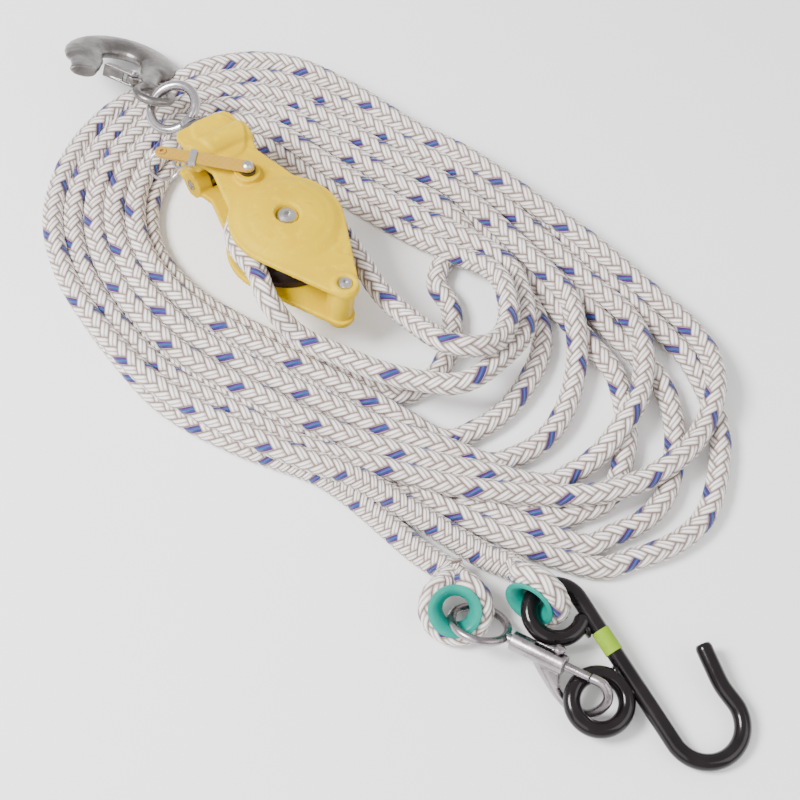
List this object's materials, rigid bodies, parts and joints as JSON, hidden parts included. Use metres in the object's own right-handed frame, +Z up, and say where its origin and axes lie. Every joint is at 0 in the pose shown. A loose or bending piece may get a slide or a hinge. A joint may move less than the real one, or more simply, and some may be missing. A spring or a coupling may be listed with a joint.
{
  "type": "lineman's hand line set",
  "caption": "Coiled braided hand line reeved through a side-opening single-sheave block with a swivel load hook, with a bolt snap and a bent-rod hand hook on its thimbles.",
  "frame": {"origin": "centre of the box of the metal and plastic pieces, on the surface the set lies on", "axes": "+Z up, +X from the load hook towards the hand hook, along the set's longest extent"},
  "size_m": [0.6144, 0.2946, 0.0766],
  "materials": {
    "yellow_paint": "semi-gloss powder coat over cast aluminium",
    "black_sheave": "moulded",
    "bronze": "sintered",
    "zinc_bolt": "zinc plated",
    "galvanised": "hot-dip galvanised forging",
    "steel_ring": "drop forged and tumbled",
    "zinc_snap": "zinc plated malleable iron",
    "webbing": "woven nylon webbing",
    "black_rod": "glossy dip coat",
    "green_band": "plain tape",
    "teal_plastic": "moulded nylon",
    "rope": "twelve-strand braided polyester with purple and blue tracers"
  },
  "bodies": {
    "block": {"rear_cheek": "yellow_paint", "front_cheek": "yellow_paint", "axle_bolt": "zinc_bolt", "axle_nut": "zinc_bolt", "tip_bolt": "zinc_bolt", "tip_nut": "zinc_bolt", "tip_spacer": "yellow_paint", "yoke": "galvanised", "head_pin": "zinc_bolt", "lanyard_washer": "black_sheave", "lanyard_rivet": "zinc_bolt", "thimble_snap": "teal_plastic", "thimble_hook": "teal_plastic", "rope_coil": "rope", "rope_over_sheave": "rope", "rope_splice_snap": "rope", "rope_splice_hook": "rope"},
    "sheave": {"sheave": "black_sheave", "sheave_bush": "bronze"},
    "swivel": {"swivel_eye": "steel_ring", "swivel_nut": "steel_ring"},
    "release_pin": {"release_pin": "zinc_bolt", "release_ball": "zinc_bolt"},
    "pin_ring": {"pin_ring": "zinc_bolt"},
    "strap": {"lanyard_strap": "webbing", "lanyard_crimp": "zinc_bolt", "lanyard_eyelet": "webbing"},
    "load_hook": {"load_hook": "galvanised", "latch_pin": "zinc_bolt", "latch_spring": "zinc_bolt"},
    "latch": {"hook_latch": "galvanised"},
    "snap_eye": {"snap_eye": "zinc_snap"},
    "snap_body": {"snap_body": "zinc_snap"},
    "snap_bolt": {"snap_bolt": "zinc_snap", "snap_spring": "zinc_snap"},
    "hand_hook": {"hand_hook_rod": "black_rod", "hand_hook_ring": "black_rod", "hand_hook_welds": "black_rod", "hand_hook_band": "green_band"}
  },
  "joints": [
    {"name": "sheave_spin", "type": "hinge", "parent": "block", "child": "sheave", "pos_m": [-0.0881, 0.0109, 0.0455], "axis": [-0.0041, 0.1564, 0.9877], "continuous": true},
    {"name": "eye_swivel", "type": "hinge", "parent": "block", "child": "swivel", "pos_m": [-0.0881, 0.0109, 0.0455], "axis": [0.9997, 0.0262, 0], "continuous": true},
    {"name": "hook_swing", "type": "hinge", "parent": "swivel", "child": "load_hook", "pos_m": [-0.22473, 0.00362, 0.04408], "axis": [-0.2823, 0.8947, 0.3462], "range_deg": [0, 30]},
    {"name": "latch_open", "type": "hinge", "parent": "load_hook", "child": "latch", "pos_m": [-0.2505, 0.00128, 0.03802], "axis": [0.2402, -0.5162, -0.8221], "range_deg": [0, 38], "stiffness_Nm_per_rad": 0.05, "springref_deg": -17.19},
    {"name": "pin_pull", "type": "slide", "parent": "block", "child": "release_pin", "axis": [0.0259, -0.9874, 0.1564], "range_m": [0, 0.034]},
    {"name": "ring_turn", "type": "hinge", "parent": "release_pin", "child": "pin_ring", "pos_m": [-0.15839, -0.01712, 0.0618], "axis": [-0.0041, 0.1564, 0.9877], "range_deg": [0, 184]},
    {"name": "strap_turn", "type": "hinge", "parent": "block", "child": "strap", "pos_m": [-0.12816, 0.01254, 0.06887], "axis": [-0.0041, 0.1564, 0.9877], "range_deg": [0, 17]},
    {"name": "hand_hook_lift", "type": "hinge", "parent": "block", "child": "hand_hook", "pos_m": [0.1752, -0.0029, 0.0218], "axis": [-0.4806, -0.8647, -0.146], "range_deg": [0, 10]},
    {"name": "snap_lift", "type": "hinge", "parent": "block", "child": "snap_eye", "pos_m": [0.1538, -0.0414, 0.0153], "axis": [-0.4806, -0.8647, -0.146], "range_deg": [0, 10.1]},
    {"name": "snap_swivel", "type": "hinge", "parent": "snap_eye", "child": "snap_body", "pos_m": [0.1845, -0.0285, 0.0159], "axis": [0.907, 0.3963, 0.1426], "range_deg": [-1.5, 4]},
    {"name": "snap_bolt_slide", "type": "slide", "parent": "snap_body", "child": "snap_bolt", "axis": [-0.907, -0.3963, -0.1426], "range_m": [0, 0.0105], "stiffness_N_per_m": 120, "springref_m": -0.01, "deforming": ["snap_spring"]}
  ],
  "couplings": [
    {"joint": "ring_turn", "follows": "pin_pull", "rad_per_m": 93.94},
    {"joint": "strap_turn", "follows": "pin_pull", "rad_per_m": 8.47},
    {"joint": "snap_lift", "follows": "hand_hook_lift", "ratio": 1}
  ]
}
